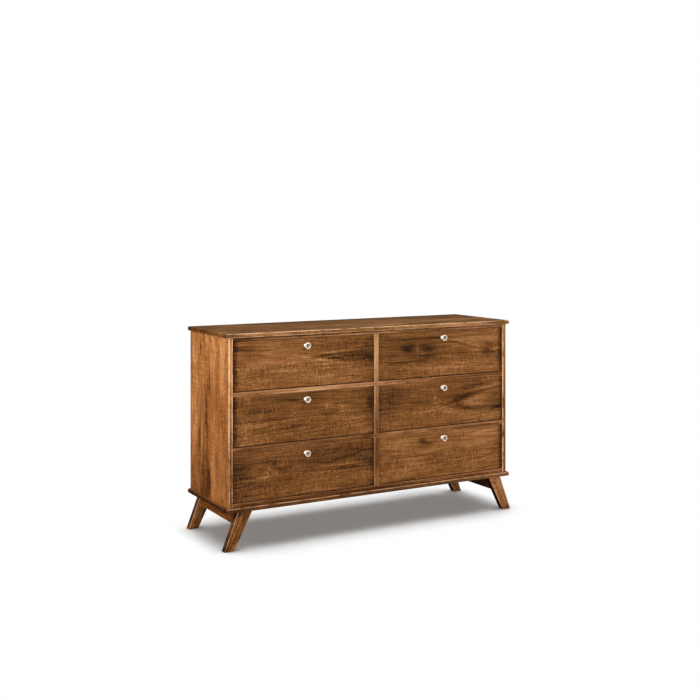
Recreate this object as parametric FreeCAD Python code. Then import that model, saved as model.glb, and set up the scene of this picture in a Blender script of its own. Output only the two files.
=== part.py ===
"""A six-drawer dresser in solid wood, modelled board by board.

Lengths are in millimetres. The origin lies on the floor, in the middle of the whole piece's outline.
+X points to the right of someone who faces the drawers, the drawers open along -Y, and +Z is up.
Each sub-part is written to a STEP file of its own in parts/.
"""
import FreeCAD
import Part
import math
import os

Vector = FreeCAD.Vector

# Overall outline
overall_height = 975.0
top_width = 1580.0
top_depth = 478.0

# Top and base boards, and how far both stand out past the case
top_thickness = 19.0
base_thickness = 19.0
side_overhang = 14.0
front_overhang = 10.8
board_arris = 2.5

# Case
side_thickness = 21.0
side_arris = 2.0
partition_thickness = 25.0
face_setback = 6.0
back_thickness = 6.0
back_rabbet = 10.0

# Rails across the case, and their tenons
rail_height = 20.0
top_rail_height = 17.0
bottom_rail_height = 18.0
rail_depth = 50.0
rail_arris = 1.2
rear_rail_height = 60.0
rear_rail_thickness = 19.0
tenon_length = 8.0
tenon_shoulder = 5.0

# Drawer fronts
row_names = ("lower", "middle", "upper")
front_thickness = 19.0
front_gap = 2.0
front_arris = 1.5

# Drawer boxes
box_side_thickness = 12.0
box_end_thickness = 12.0
box_floor_clearance = 12.0
box_head_clearance = 14.0
box_rear_clearance = 26.0
box_bottom_thickness = 6.0
box_bottom_rise = 10.0
groove_depth = 6.0

# Dovetails: a pin is narrow on the outside of the box end and wide on its inside
tail_count = 4
pin_tip = 8.0
pin_root = 12.0

# Telescopic slides, in the space at each side of a drawer box
slide_space = 12.7
slide_height = 45.0
slide_wall = 1.5
slide_clearance = 0.3
slide_setback = 3.0
slide_end_margin = 7.0

# Knobs: heights are measured out from the drawer front
knob_drop = 33.0
knob_projection = 23.5
knob_head_radius = 15.5
knob_head_thickness = 6.0
knob_neck_radius = 6.0
knob_bore_depth = 12.0

# Knob screws
screw_radius = 2.0
screw_play = 0.1
screw_hole_radius = 2.5
screw_head_radius = 4.2
screw_head_height = 2.4
screw_engagement = 10.0

# Legs, which splay sideways only, and the rails that join them front to back
leg_height = 171.0
leg_head_width = 71.0
leg_foot_width = 48.0
leg_splay = 64.5
leg_head_inset = 55.5
leg_thickness = 34.0
front_leg_inset = 2.5
back_leg_inset = 5.0
leg_arris = 2.0
leg_rail_height = 68.0
leg_rail_thickness = 25.0
leg_rail_inset = 6.5

# Two places closer than this are the same place
touch = 0.01

# Depth: the knobs may reach further forward than the top board does
knob_overreach = max(0.0, knob_projection - front_overhang - face_setback)
back_y = (top_depth + knob_overreach) / 2
top_front_y = back_y - top_depth
case_front_y = top_front_y + front_overhang
face_y = case_front_y + face_setback
back_inner_y = back_y - back_thickness

# Width
half_top = top_width / 2
side_outer_x = half_top - side_overhang
side_inner_x = side_outer_x - side_thickness
stile_x = partition_thickness / 2

# Height
base_top_z = leg_height + base_thickness
top_under_z = overall_height - top_thickness
row_count = len(row_names)
rails_height = bottom_rail_height + (row_count - 1) * rail_height + top_rail_height
opening_height = (top_under_z - base_top_z - rails_height) / row_count
row_pitch = opening_height + rail_height
first_opening_z = base_top_z + bottom_rail_height


def board(x, y, z):
    """A square-edged board that fills three (one end, other end) pairs of limits."""
    low = Vector(min(x), min(y), min(z))
    return Part.makeBox(abs(x[1] - x[0]), abs(y[1] - y[0]), abs(z[1] - z[0]), low)


def front_edges(shape, axes):
    """The edges in the foremost plane of a board that run along the given axes, such as "XZ"."""
    front = shape.BoundBox.YMin
    edges = [edge for edge in shape.Edges if edge.BoundBox.YMax < front + touch]
    return [edge for edge in edges if any(getattr(edge.BoundBox, axis + "Length") > touch for axis in axes)]


def eased_board(x, y, z):
    """A board of the top or base, with every edge eased."""
    shape = board(x, y, z)
    return shape.makeChamfer(board_arris, shape.Edges)


def flat(corners):
    """A flat face inside a closed run of straight edges."""
    return Part.Face(Part.makePolygon([*corners, corners[0]]))


def turned(profile):
    """A solid turned about the Y axis from a closed profile of (radius, distance along -Y) pairs."""
    face = flat([Vector(radius, -out) for radius, out in profile])
    return face.revolve(Vector(0, 0, 0), Vector(0, 1, 0), 360)


# The case: rails, partition, side panels and back

def cross_rail(z, height, y, depth):
    """A rail from side panel to side panel, with a stub tenon at each end."""
    body = board((-side_inner_x, side_inner_x), (y, y + depth), (z, z + height))
    body = body.makeChamfer(rail_arris, front_edges(body, "X"))
    tenon_x = side_inner_x + tenon_length
    tenon = board((-tenon_x, tenon_x), (y + tenon_shoulder, y + depth - tenon_shoulder),
                  (z + tenon_shoulder, z + height - tenon_shoulder))
    return body.fuse(tenon).removeSplitter()


def front_rail(z, height):
    """A rail of the front, slotted behind so that it laps with the partition."""
    slot = board((-stile_x, stile_x), (lap_y, face_y + rail_depth), (z, z + height))
    return cross_rail(z, height, face_y, rail_depth).cut(slot)


def partition():
    """The centre partition: its front edge is notched for the front rails, its back for the rear rail."""
    x = (-stile_x, stile_x)
    shape = board(x, (face_y, back_inner_y), (base_top_z, top_under_z))
    shape = shape.makeChamfer(rail_arris, front_edges(shape, "Z"))
    for z, height in front_rail_places.values():
        shape = shape.cut(board(x, (face_y, lap_y), (z, z + height)))
    return shape.cut(board(x, (rear_rail_y, back_inner_y), (rear_rail_z, top_under_z)))


def side_panel(side, let_in):
    """A side panel with its front edges eased, mortised and rabbeted for the pieces let into it."""
    shape = board((side * side_inner_x, side * side_outer_x), (case_front_y, back_y), (base_top_z, top_under_z))
    shape = shape.makeChamfer(side_arris, front_edges(shape, "Z"))
    for piece in let_in:
        shape = shape.cut(piece)
    return shape


lap_y = face_y + rail_depth / 2
rear_rail_y = back_inner_y - rear_rail_thickness
rear_rail_z = top_under_z - rear_rail_height
front_rail_places = {
    "bottom_rail": (base_top_z, bottom_rail_height),
    "lower_rail": (first_opening_z + opening_height, rail_height),
    "upper_rail": (first_opening_z + row_pitch + opening_height, rail_height),
    "top_rail": (top_under_z - top_rail_height, top_rail_height),
}
front_rails = {name: front_rail(z, height) for name, (z, height) in front_rail_places.items()}
rear_rail = cross_rail(rear_rail_z, rear_rail_height, rear_rail_y, rear_rail_thickness)
rabbet_x = side_inner_x + back_rabbet
back_panel = board((-rabbet_x, rabbet_x), (back_inner_y, back_y), (base_top_z, top_under_z))
let_into_sides = [*front_rails.values(), rear_rail, back_panel]


# Legs and leg rails

leg_outer_head_x = half_top - leg_head_inset
leg_outer_foot_x = leg_outer_head_x + leg_splay
front_leg_y = (top_front_y + front_leg_inset, top_front_y + front_leg_inset + leg_thickness)
back_leg_y = (back_y - back_leg_inset - leg_thickness, back_y - back_leg_inset)


def leg(side, y):
    """A leg that tapers down and leans out to one side, square seen from the side of the case."""
    corners = ((leg_outer_head_x, leg_height), (leg_outer_foot_x, 0),
               (leg_outer_foot_x - leg_foot_width, 0), (leg_outer_head_x - leg_head_width, leg_height))
    shape = flat([Vector(side * x, y[0], z) for x, z in corners]).extrude(Vector(0, y[1] - y[0], 0))
    long_edges = [edge for edge in shape.Edges if edge.BoundBox.ZLength > touch]
    return shape.makeChamfer(leg_arris, long_edges)


def leg_rail(side):
    """A rail under the base from a front leg to a back leg, with a stub tenon in each."""
    outer_x = leg_outer_head_x - leg_rail_inset
    x = (side * (outer_x - leg_rail_thickness), side * outer_x)
    z = (leg_height - leg_rail_height, leg_height)
    body = board(x, (front_leg_y[1], back_leg_y[0]), z)
    lower_edges = [edge for edge in body.Edges
                   if edge.BoundBox.ZMax < z[0] + touch and edge.BoundBox.YLength > touch]
    body = body.makeChamfer(rail_arris, lower_edges)
    tenon = board((x[0] + side * tenon_shoulder, x[1] - side * tenon_shoulder),
                  (front_leg_y[1] - tenon_length, back_leg_y[0] + tenon_length),
                  (z[0] + tenon_shoulder, z[1] - tenon_shoulder))
    return body.fuse(tenon).removeSplitter()


# Knob and screw, modelled with the drawer front's face at y = 0 and the axis through the origin

def knob():
    """A turned knob: a flat round head on a narrow neck, bored for its screw."""
    bore_radius = screw_radius + screw_play
    head_back = knob_projection - knob_head_thickness
    return turned((
        (bore_radius, 0),
        (knob_neck_radius, 0),
        (knob_neck_radius, head_back),
        (knob_head_radius, head_back),
        (knob_head_radius, knob_projection),
        (0, knob_projection),
        (0, knob_bore_depth),
        (bore_radius, knob_bore_depth)))


def knob_screw():
    """The machine screw that holds a knob, its head against the inside of the box end."""
    head_back = -front_thickness - box_end_thickness
    head_top = head_back - screw_head_height
    return turned((
        (0, screw_engagement),
        (screw_radius, screw_engagement),
        (screw_radius, head_back),
        (screw_head_radius, head_back),
        (screw_head_radius, head_top),
        (0, head_top)))


# Drawers

def pin(x, y, middle_z, z):
    """One pin of a box end, wide at y[1], run through the whole width of the box and kept inside z."""
    def corner(place_y, place_z):
        return Vector(x[0], place_y, min(max(place_z, z[0]), z[1]))
    face = flat([corner(y[0], middle_z - pin_tip / 2), corner(y[0], middle_z + pin_tip / 2),
                 corner(y[1], middle_z + pin_root / 2), corner(y[1], middle_z - pin_root / 2)])
    return face.extrude(Vector(x[1] - x[0], 0, 0))


def box_end(x, y, z):
    """The front or back of a drawer box between its sides, with the pins of both corners."""
    pitch = (z[1] - z[0]) / tail_count
    pins = [pin(x, y, z[0] + count * pitch, z) for count in range(tail_count + 1)]
    body = board((x[0] + box_side_thickness, x[1] - box_side_thickness), y, z)
    return body.multiFuse(pins).removeSplitter()


def channel(web_x, lip_x, height, middle_z):
    """A slide member: a channel with its web at web_x and its two lips reaching to lip_x."""
    step = math.copysign(slide_wall, lip_x - web_x)
    half = height / 2
    inside = half - slide_wall
    corners = ((web_x, -half), (lip_x, -half), (lip_x, -inside), (web_x + step, -inside),
               (web_x + step, inside), (lip_x, inside), (lip_x, half), (web_x, half))
    face = flat([Vector(x, slide_y[0], middle_z + z) for x, z in corners])
    return face.extrude(Vector(0, slide_y[1] - slide_y[0], 0))


def slide(wall_x, box_x, middle_z):
    """The cabinet, middle and drawer members of a slide between a wall of the case and a box side."""
    way = math.copysign(1, box_x - wall_x)
    play = slide_wall + slide_clearance
    lip_x = box_x - way * play
    nested_height = slide_height - 2 * play
    cabinet_member = channel(wall_x, lip_x, slide_height, middle_z)
    middle_member = channel(wall_x + way * play, lip_x, nested_height, middle_z)
    drawer_member = channel(box_x, wall_x + way * 2 * play, nested_height - 2 * play, middle_z)
    return cabinet_member, middle_member, drawer_member


def drawer(side, row):
    """The pieces of one drawer and of its two slides, by name; side is -1 or 1, row counts up from 0."""
    x = sorted((side * stile_x, side * side_inner_x))
    z = (first_opening_z + row * row_pitch, first_opening_z + row * row_pitch + opening_height)
    knob_at = Vector((x[0] + x[1]) / 2, face_y, z[1] - front_gap - knob_drop)
    screw_hole = Part.makeCylinder(screw_hole_radius, front_thickness + box_end_thickness, knob_at,
                                   Vector(0, 1, 0))

    front = board((x[0] + front_gap, x[1] - front_gap), (face_y, box_y[0]), (z[0] + front_gap, z[1] - front_gap))
    front = front.makeChamfer(front_arris, front_edges(front, "XZ")).cut(screw_hole)

    box_x = (x[0] + slide_space, x[1] - slide_space)
    box_z = (z[0] + box_floor_clearance, z[1] - box_head_clearance)
    floor_z = box_z[0] + box_bottom_rise
    reach_x = box_side_thickness - groove_depth
    reach_y = box_end_thickness - groove_depth
    bottom = board((box_x[0] + reach_x, box_x[1] - reach_x), (box_y[0] + reach_y, box_y[1] - reach_y),
                   (floor_z, floor_z + box_bottom_thickness))
    ends = [box_end(box_x, (box_y[0], box_y[0] + box_end_thickness), box_z),
            box_end(box_x, (box_y[1], box_y[1] - box_end_thickness), box_z)]
    sides = [board((box_x[0], box_x[0] + box_side_thickness), box_y, box_z),
             board((box_x[1], box_x[1] - box_side_thickness), box_y, box_z)]
    sides = [piece.cut(ends).cut(bottom) for piece in sides]
    ends = [piece.cut(bottom).cut(screw_hole) for piece in ends]

    middle_z = (box_z[0] + box_z[1]) / 2
    slides = zip(slide(x[0], box_x[0], middle_z), slide(x[1], box_x[1], middle_z))
    cabinet_members, middle_members, drawer_members = slides
    return {
        "front": front,
        "sides": Part.makeCompound(sides),
        "ends": Part.makeCompound(ends),
        "bottom": bottom,
        "knob": Part.makeCompound([knob_shape.translated(knob_at), screw_shape.translated(knob_at)]),
        "slides": Part.makeCompound(drawer_members),
        "middle_slides": Part.makeCompound(middle_members),
        "cabinet_slides": cabinet_members,
    }


box_y = (face_y + front_thickness, back_inner_y - box_rear_clearance)
slide_y = (box_y[0] + slide_setback, box_y[1] - slide_end_margin)
knob_shape = knob()
screw_shape = knob_screw()


# The whole dresser

whole_board_x = (-half_top, half_top)
whole_board_y = (top_front_y, back_y)
nodes = {
    "top_panel": eased_board(whole_board_x, whole_board_y, (top_under_z, overall_height)),
    "base_panel": eased_board(whole_board_x, whole_board_y, (leg_height, base_top_z)),
    "centre_partition": partition(),
    "back_panel": back_panel,
    "rear_rail": rear_rail,
    **front_rails,
}
cabinet_slides = []
for side, side_name in ((-1, "left"), (1, "right")):
    nodes[side_name + "_side_panel"] = side_panel(side, let_into_sides)
    rail = leg_rail(side)
    nodes[side_name + "_leg_rail"] = rail
    nodes["front_" + side_name + "_leg"] = leg(side, front_leg_y).cut(rail)
    nodes["back_" + side_name + "_leg"] = leg(side, back_leg_y).cut(rail)
    for row, row_name in enumerate(row_names):
        pieces = drawer(side, row)
        cabinet_slides.extend(pieces.pop("cabinet_slides"))
        for piece_name, shape in pieces.items():
            nodes["_".join((row_name, side_name, "drawer", piece_name))] = shape
nodes["cabinet_slides"] = Part.makeCompound(cabinet_slides)

os.makedirs("parts", exist_ok=True)
for name, shape in nodes.items():
    shape.exportStep("parts/" + name + ".step")
    print(name, "solids", len(shape.Solids), "valid", shape.isValid(), "litres", round(shape.Volume / 1e6, 3))
print(len(nodes), "nodes")
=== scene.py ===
"""Dresses a six-drawer dresser for its portrait: stained wood, bright knobs, a pale studio and the camera.

Lengths are in metres, in the dresser's own frame: the origin is on the floor in the middle of the piece,
+X points to the right of someone who faces the drawers, the drawers open along -Y, and +Z is up.
"""
import logging
import math
from dataclasses import dataclass, field
from enum import Enum

import bmesh
import bpy
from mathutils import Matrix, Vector

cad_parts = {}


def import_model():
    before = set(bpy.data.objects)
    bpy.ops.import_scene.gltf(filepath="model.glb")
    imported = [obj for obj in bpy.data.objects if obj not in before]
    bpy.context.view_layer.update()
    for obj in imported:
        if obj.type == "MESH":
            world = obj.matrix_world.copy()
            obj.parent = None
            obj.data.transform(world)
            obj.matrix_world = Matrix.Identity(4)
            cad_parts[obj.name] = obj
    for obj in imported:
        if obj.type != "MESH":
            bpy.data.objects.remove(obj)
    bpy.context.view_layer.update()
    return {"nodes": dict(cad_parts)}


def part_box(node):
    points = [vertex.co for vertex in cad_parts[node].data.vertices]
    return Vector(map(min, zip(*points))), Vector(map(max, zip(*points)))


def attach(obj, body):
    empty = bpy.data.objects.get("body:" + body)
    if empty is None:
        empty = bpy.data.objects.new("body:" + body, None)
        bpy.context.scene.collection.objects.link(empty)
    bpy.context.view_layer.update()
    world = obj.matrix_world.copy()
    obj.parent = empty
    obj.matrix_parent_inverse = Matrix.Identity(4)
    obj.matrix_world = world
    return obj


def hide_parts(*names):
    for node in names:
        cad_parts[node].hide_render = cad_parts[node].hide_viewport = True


log = logging.getLogger("dresser")

MM = 0.001
ROWS = ("lower", "middle", "upper")
SIDES = ("left", "right")

WHITE = (1.0, 1.0, 1.0, 1.0)
# A screen's tone curve: where its straight toe ends and how steep that is, then the rest's lift and power
SCREEN_TOE = (0.04045, 12.92)
SCREEN_CURVE = (0.055, 2.4)

Colour = tuple[int, int, int]
Point = tuple[float, float, float]
Socket = bpy.types.NodeSocket
Value = Socket | float


class Axis(Enum):
    """A direction of the dresser's frame, by its place among a point's three coordinates."""

    X = 0
    Y = 1
    Z = 2


def stain(red: int, green: int, blue: int) -> tuple[float, float, float, float]:
    """Turns a colour as a screen shows it into the linear light that a shader works in.

    Args:
        red: Red, from 0 to 255.
        green: Green, from 0 to 255.
        blue: Blue, from 0 to 255.

    Returns:
        The linear colour with a full alpha.
    """
    toe, toe_slope = SCREEN_TOE
    lift, gamma = SCREEN_CURVE
    linear = []
    for part in (red, green, blue):
        share = part / 255
        linear.append(share / toe_slope if share <= toe else ((share + lift) / (1 + lift)) ** gamma)
    return (*linear, 1.0)


@dataclass(frozen=True)
class Layer:
    """One layer of a board's noise.

    Along and across are how many waves it has to a metre along the grain and across it. The offset is added
    to the board's seed, so that no two layers are alike. Detail is how many finer layers it has, and
    roughness is how strong they are.
    """

    along: float
    across: float
    offset: float
    detail: float = 3.0
    roughness: float = 0.5


class Graph:
    """Adds nodes to one shader tree and wires them together."""

    def __init__(self, tree: bpy.types.NodeTree) -> None:
        """Takes over a tree and empties it."""
        self.tree = tree
        self.tree.nodes.clear()

    def feed(self, socket: Socket, value: object) -> None:
        """Links an output to an input socket, or gives the socket a value of its own.

        Args:
            socket: The input socket.
            value: The output, or a number or a tuple.
        """
        if isinstance(value, Socket):
            self.tree.links.new(value, socket)
        else:
            socket.default_value = value

    def add(self, kind: str, inputs: dict[str | int, object] | None = None,
            **settings: object) -> bpy.types.Node:
        """Adds one node.

        Args:
            kind: The node's type name.
            inputs: What each input is fed with, by its name or place.
            settings: The node's own properties.

        Returns:
            The new node.
        """
        made = self.tree.nodes.new(kind)
        for name, value in settings.items():
            setattr(made, name, value)
        for socket, value in (inputs or {}).items():
            self.feed(made.inputs[socket], value)
        return made

    def sum(self, operation: str, *values: Value, clamp: bool = False) -> Socket:
        """Works out one step of arithmetic.

        Args:
            operation: The operation's name, such as ADD.
            values: One to three numbers or outputs.
            clamp: Whether the result is kept between 0 and 1.

        Returns:
            The result's output.
        """
        made = self.add("ShaderNodeMath", dict(enumerate(values)), operation=operation, use_clamp=clamp)
        return made.outputs[0]

    def plus(self, first: Value, second: Value, clamp: bool = False) -> Socket:
        """The sum of two numbers."""
        return self.sum("ADD", first, second, clamp=clamp)

    def minus(self, first: Value, second: Value) -> Socket:
        """The first number less the second."""
        return self.sum("SUBTRACT", first, second)

    def times(self, first: Value, second: Value, clamp: bool = False) -> Socket:
        """The product of two numbers."""
        return self.sum("MULTIPLY", first, second, clamp=clamp)

    def scaled(self, value: Value, scale: Value, start: Value, clamp: bool = False) -> Socket:
        """A start, and a value times a scale added to it."""
        return self.sum("MULTIPLY_ADD", value, scale, start, clamp=clamp)

    def squares(self, first: Value, second: Value) -> Socket:
        """The sum of two squares."""
        return self.plus(self.times(first, first), self.times(second, second))

    def step(self, value: Value, low: float, high: float) -> Socket:
        """Makes a smooth step from 0 to 1.

        Args:
            value: What the step is taken of.
            low: The value at which it is 0, which may be the larger of the two.
            high: The value at which it is 1.

        Returns:
            The step's output.
        """
        ends = (1.0, 0.0) if low > high else (0.0, 1.0)
        inputs = {"Value": value, "From Min": min(low, high), "From Max": max(low, high),
                  "To Min": ends[0], "To Max": ends[1]}
        return self.add("ShaderNodeMapRange", inputs, interpolation_type="SMOOTHSTEP").outputs["Result"]

    def vector(self, operation: str, first: object, second: object) -> Socket:
        """One step of vector arithmetic on two vectors, each a tuple or an output."""
        made = self.add("ShaderNodeVectorMath", {0: first, 1: second}, operation=operation)
        return made.outputs["Vector"]

    def split(self, vector: Socket) -> list[Value]:
        """The three coordinates of a vector."""
        return list(self.add("ShaderNodeSeparateXYZ", {0: vector}).outputs)

    def join(self, *coordinates: Value) -> Socket:
        """The vector that has three given coordinates."""
        return self.add("ShaderNodeCombineXYZ", dict(enumerate(coordinates))).outputs[0]

    def coordinates(self, kind: str) -> Socket:
        """The shaded point's coordinates of one kind, such as Object."""
        return self.add("ShaderNodeTexCoord").outputs[kind]

    def noise(self, place: Socket, pitch: Point, seed: Value, detail: float,
              roughness: float = 0.5) -> Socket:
        """Noise from about -0.5 to 0.5, stretched along the axes.

        Args:
            place: The point, in metres.
            pitch: How many waves there are to a metre along each axis.
            seed: The fourth coordinate, which tells one board's noise from another's.
            detail: How many finer layers it has.
            roughness: How strong the finer layers are.

        Returns:
            The noise's output.
        """
        inputs = {"Vector": self.vector("MULTIPLY", place, pitch), "W": seed, "Scale": 1.0,
                  "Detail": detail, "Roughness": roughness}
        made = self.add("ShaderNodeTexNoise", inputs, noise_dimensions="4D")
        return self.minus(made.outputs[0], 0.5)

    def layer(self, place: Socket, layer: Layer, seed: Value) -> Socket:
        """One layer of noise, at a place whose coordinates run along, across and through the grain."""
        pitch = (layer.along, layer.across, layer.across)
        return self.noise(place, pitch, self.plus(seed, layer.offset), layer.detail, layer.roughness)

    def mix(self, share: Value, first: object, second: object, blend: str = "MIX") -> Socket:
        """Mixes two colours.

        Args:
            share: The share of the second colour.
            first: The first colour.
            second: The second colour.
            blend: How they are mixed, such as MULTIPLY.

        Returns:
            The mixed colour's output.
        """
        made = self.add("ShaderNodeMix", data_type="RGBA", blend_type=blend)
        sockets = [socket for socket in made.inputs if socket.enabled]
        for socket, value in zip(sockets, (share, first, second)):
            self.feed(socket, value)
        return next(socket for socket in made.outputs if socket.enabled)

    def surface(self, shader: bpy.types.Node) -> None:
        """Ends a material's tree in a shader."""
        self.add("ShaderNodeOutputMaterial", {"Surface": shader.outputs[0]})


def new_material(name: str) -> tuple[bpy.types.Material, Graph]:
    """Makes an empty material.

    Args:
        name: The material's name.

    Returns:
        The material, and the graph that fills it.
    """
    material = bpy.data.materials.new(name)
    material.use_nodes = True
    return material, Graph(material.node_tree)


def dress(piece: bpy.types.Object, material: bpy.types.Material) -> None:
    """Gives a piece one material, and reports it.

    Args:
        piece: The piece.
        material: The material, which takes the place of all others.
    """
    piece.data.materials.clear()
    piece.data.materials.append(material)
    log.info("dressed %s in %s", piece.name, material.name)


def add_object(name: str, data: bpy.types.ID) -> bpy.types.Object:
    """Adds an object to the scene, at the origin.

    Args:
        name: The object's name.
        data: What it shows, such as a mesh or a light.

    Returns:
        The object.
    """
    made = bpy.data.objects.new(name, data)
    bpy.context.scene.collection.objects.link(made)
    return made


def add_mesh(name: str, mesh: bmesh.types.BMesh) -> bpy.types.Object:
    """Adds a finished mesh to the scene, as an object at the origin.

    Args:
        name: The name of the object and of its mesh.
        mesh: The mesh, which is freed.

    Returns:
        The object.
    """
    data = bpy.data.meshes.new(name)
    mesh.to_mesh(data)
    mesh.free()
    return add_object(name, data)


@dataclass(frozen=True)
class Stain:
    """The colours of one stained wood, dark to pale, and how strong each layer of its figure is."""

    name: str
    dark: Colour
    middle: Colour
    pale: Colour
    # The colour of the paled edges, which are partly rubbed by use and partly a painted highlight
    worn: Colour
    streak: float = 0.34
    grain: float = 0.85
    chatter: float = 0.65
    speckle: float = 0.75
    fibre: float = 0.35
    blotch: float = 0.65
    ring: float = 0.12
    curl: float = 0.25
    pore: float = 0.14
    hue: float = 0.7
    # How strongly the edges are paled, as rubbing from use and as a painted highlight
    wear: float = 0.8
    end_grain: float = 0.45
    roughness: float = 0.46
    bump: float = 0.25


@dataclass(frozen=True)
class Mark:
    """A cloud, streak or knot in a board, or a patch or line of painted shade, placed in shares of the
    board's length and width from its middle.

    Length and width are half sizes in metres. Tone is how much paler it is, swirl bends the grain around
    it, lean is how far it climbs across the board for each metre along it, and ripple rings it with pale
    lines. An outline makes it an even patch, with a broken line inside its edge that is paler and one
    outside that is darker, most of all at its low end; a negative outline has them the other way round. The
    point is 2 for an oval and 1 for a lens with sharp ends.
    """

    along_share: float
    across_share: float
    length: float
    width: float
    tone: float
    swirl: float = 0.0
    lean: float = 0.0
    ripple: float = 0.0
    outline: float = 0.0
    point: float = 2.0


class Side(Enum):
    """A side of a board, as its end along the grain or its edge across it."""

    LOW_END = ("grain", 1)
    HIGH_END = ("grain", -1)
    FOOT = ("across", 1)
    HEAD = ("across", -1)


@dataclass(frozen=True)
class Band:
    """A soft band along one side of a board: how much paler it is, how far in it reaches, how it sways.
    Most bands are painted shade: in the gaps round the drawer fronts and rails, at the fronts' ends and
    under the top.
    """

    side: Side
    tone: float
    reach: float
    sway: float = 0.0


@dataclass(frozen=True)
class Board:
    """How one board was cut, stained and rubbed, and where shade and highlight are painted on it.

    Grain is the direction that its grain runs in, and across the other one of its face. Stave is how wide
    the staves are that it is glued up from, and stave shift moves their seams. Tone is how much paler it is
    than its stain.

    The arris is how far in from the board's faces its paled edges reach, along X, Y and Z, and zero where
    the edges beside those faces are not paled; the edges are paled partly as rubbing from use and partly as
    a painted highlight. The way of the paled edges is 1 where only the edges round its high face are paled,
    -1 where only those round its low face are, and 0 for both. The taper is how far its low and its high
    edge across the grain move as the board runs from its low end to its high one. The flank tones are how
    much paler the faces of its low and its high edge are; on the legs they are painted shade, and on the
    top a painted highlight.
    """

    node: str
    grain: Axis
    across: Axis
    stain: Stain
    seed: float
    stave: float = 9.0
    stave_shift: float = 0.0
    arris: Point = (1.6 * MM, 1.6 * MM, 1.6 * MM)
    worn_way: int = 0
    taper: tuple[float, float] = (0.0, 0.0)
    flank_tones: tuple[float, float] = (0.0, 0.0)
    tone: float = 0.0
    bands: tuple[Band, ...] = ()
    marks: tuple[Mark, ...] = ()


def field_name(socket: str) -> str:
    """The name of the dataclass field that feeds a socket of the wood group."""
    return socket.lower().replace(" ", "_")


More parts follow.
